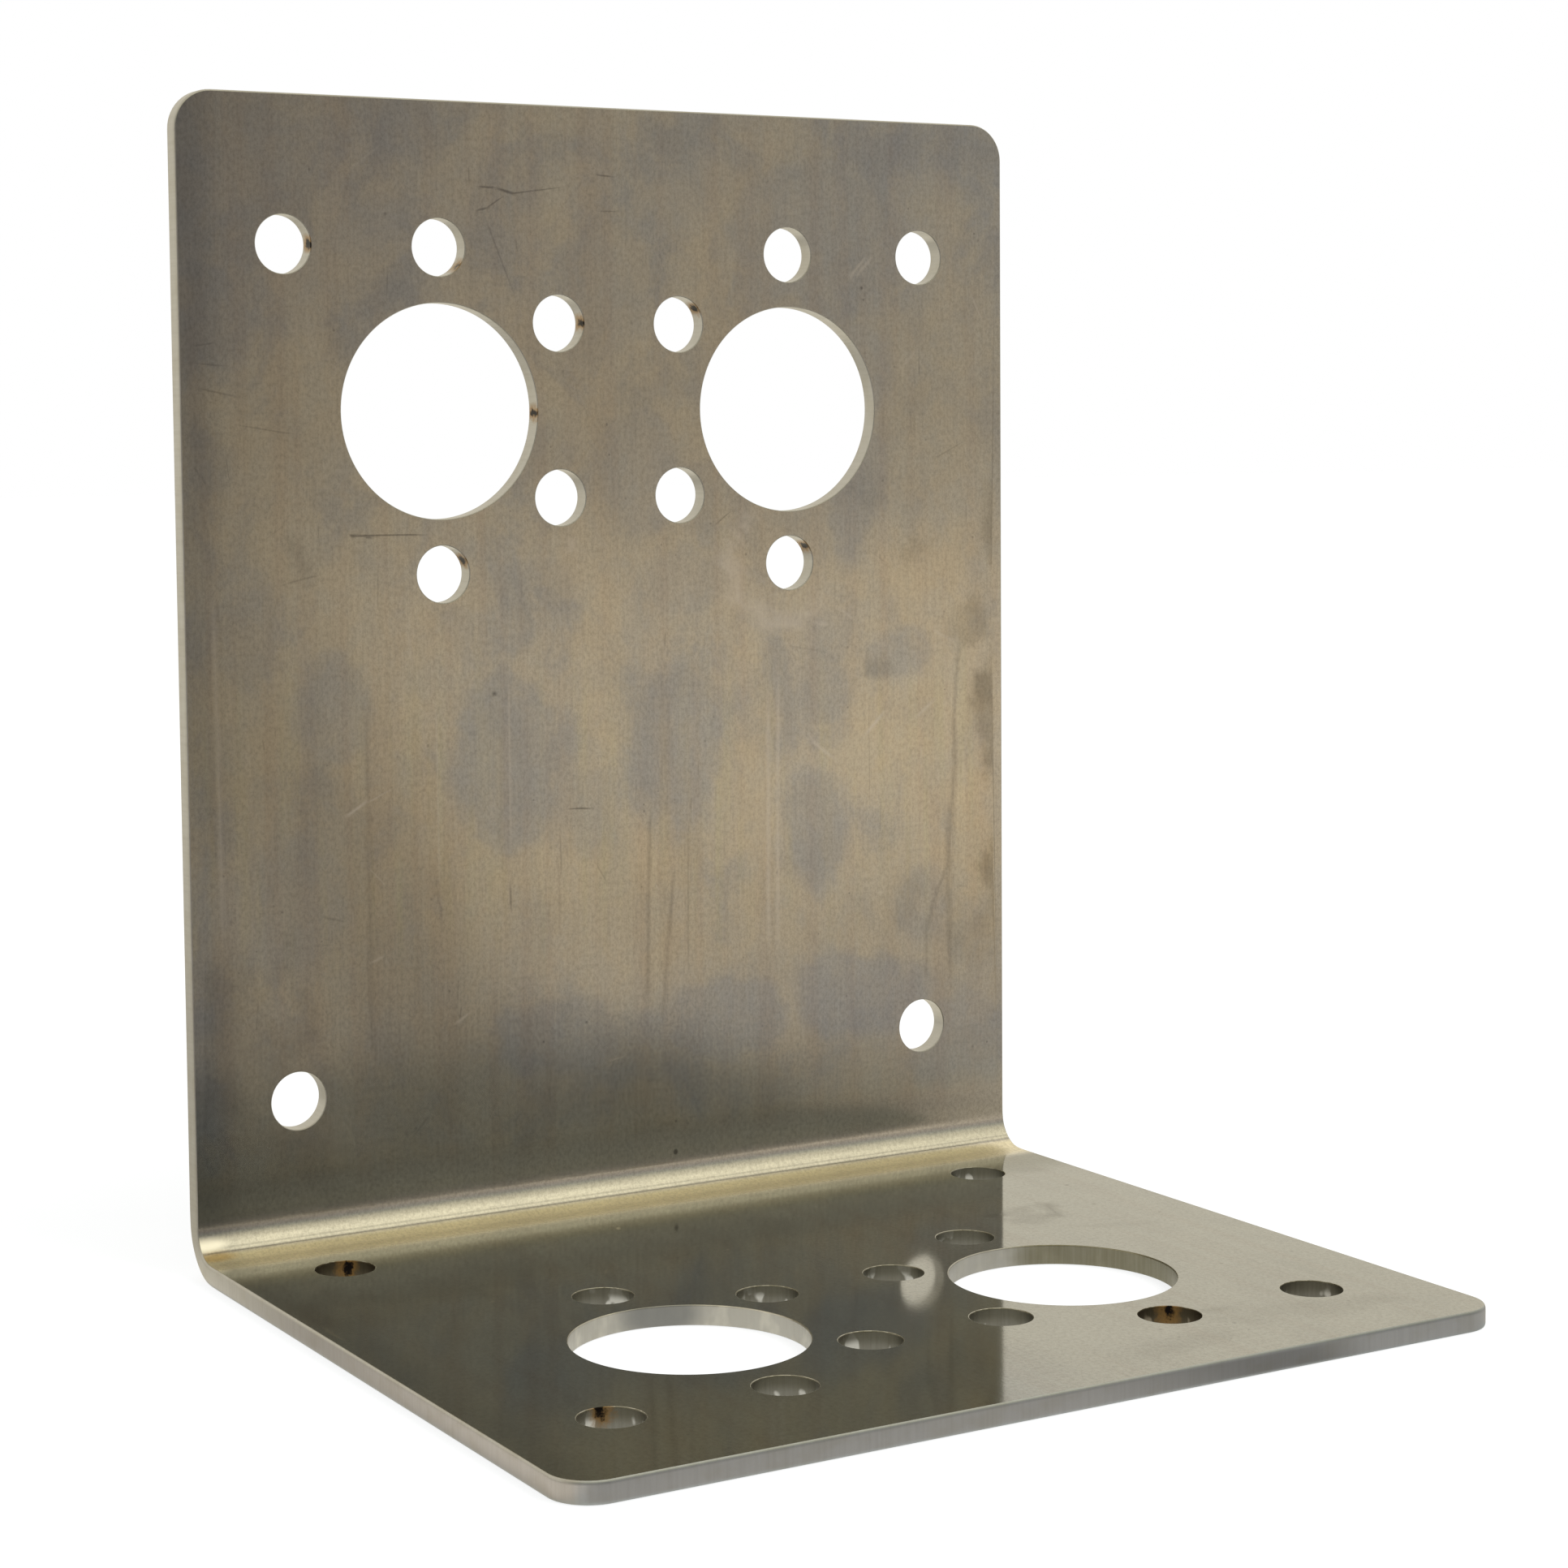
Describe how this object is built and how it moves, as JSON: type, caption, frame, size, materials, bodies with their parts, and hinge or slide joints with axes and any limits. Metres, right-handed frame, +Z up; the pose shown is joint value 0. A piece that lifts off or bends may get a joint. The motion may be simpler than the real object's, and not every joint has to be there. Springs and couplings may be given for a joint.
{
  "type": "l bracket",
  "caption": "Folded sheet-metal L bracket with rounded outer corners; each leg carries two large round holes ringed by small screw holes, and a screw hole near each corner.",
  "frame": {"origin": "middle of the footprint on the plane that the lower leg rests on", "axes": "+Z up along the upright leg, +Y towards the back of the upright leg, X along the fold; the lower leg runs forward to -Y"},
  "size_m": [0.1, 0.084, 0.12],
  "materials": {
    "bracket": "rolled stainless sheet, fine grain, laser-cut edges"
  },
  "bodies": {
    "root": {"bracket": "bracket"}
  },
  "joints": []
}
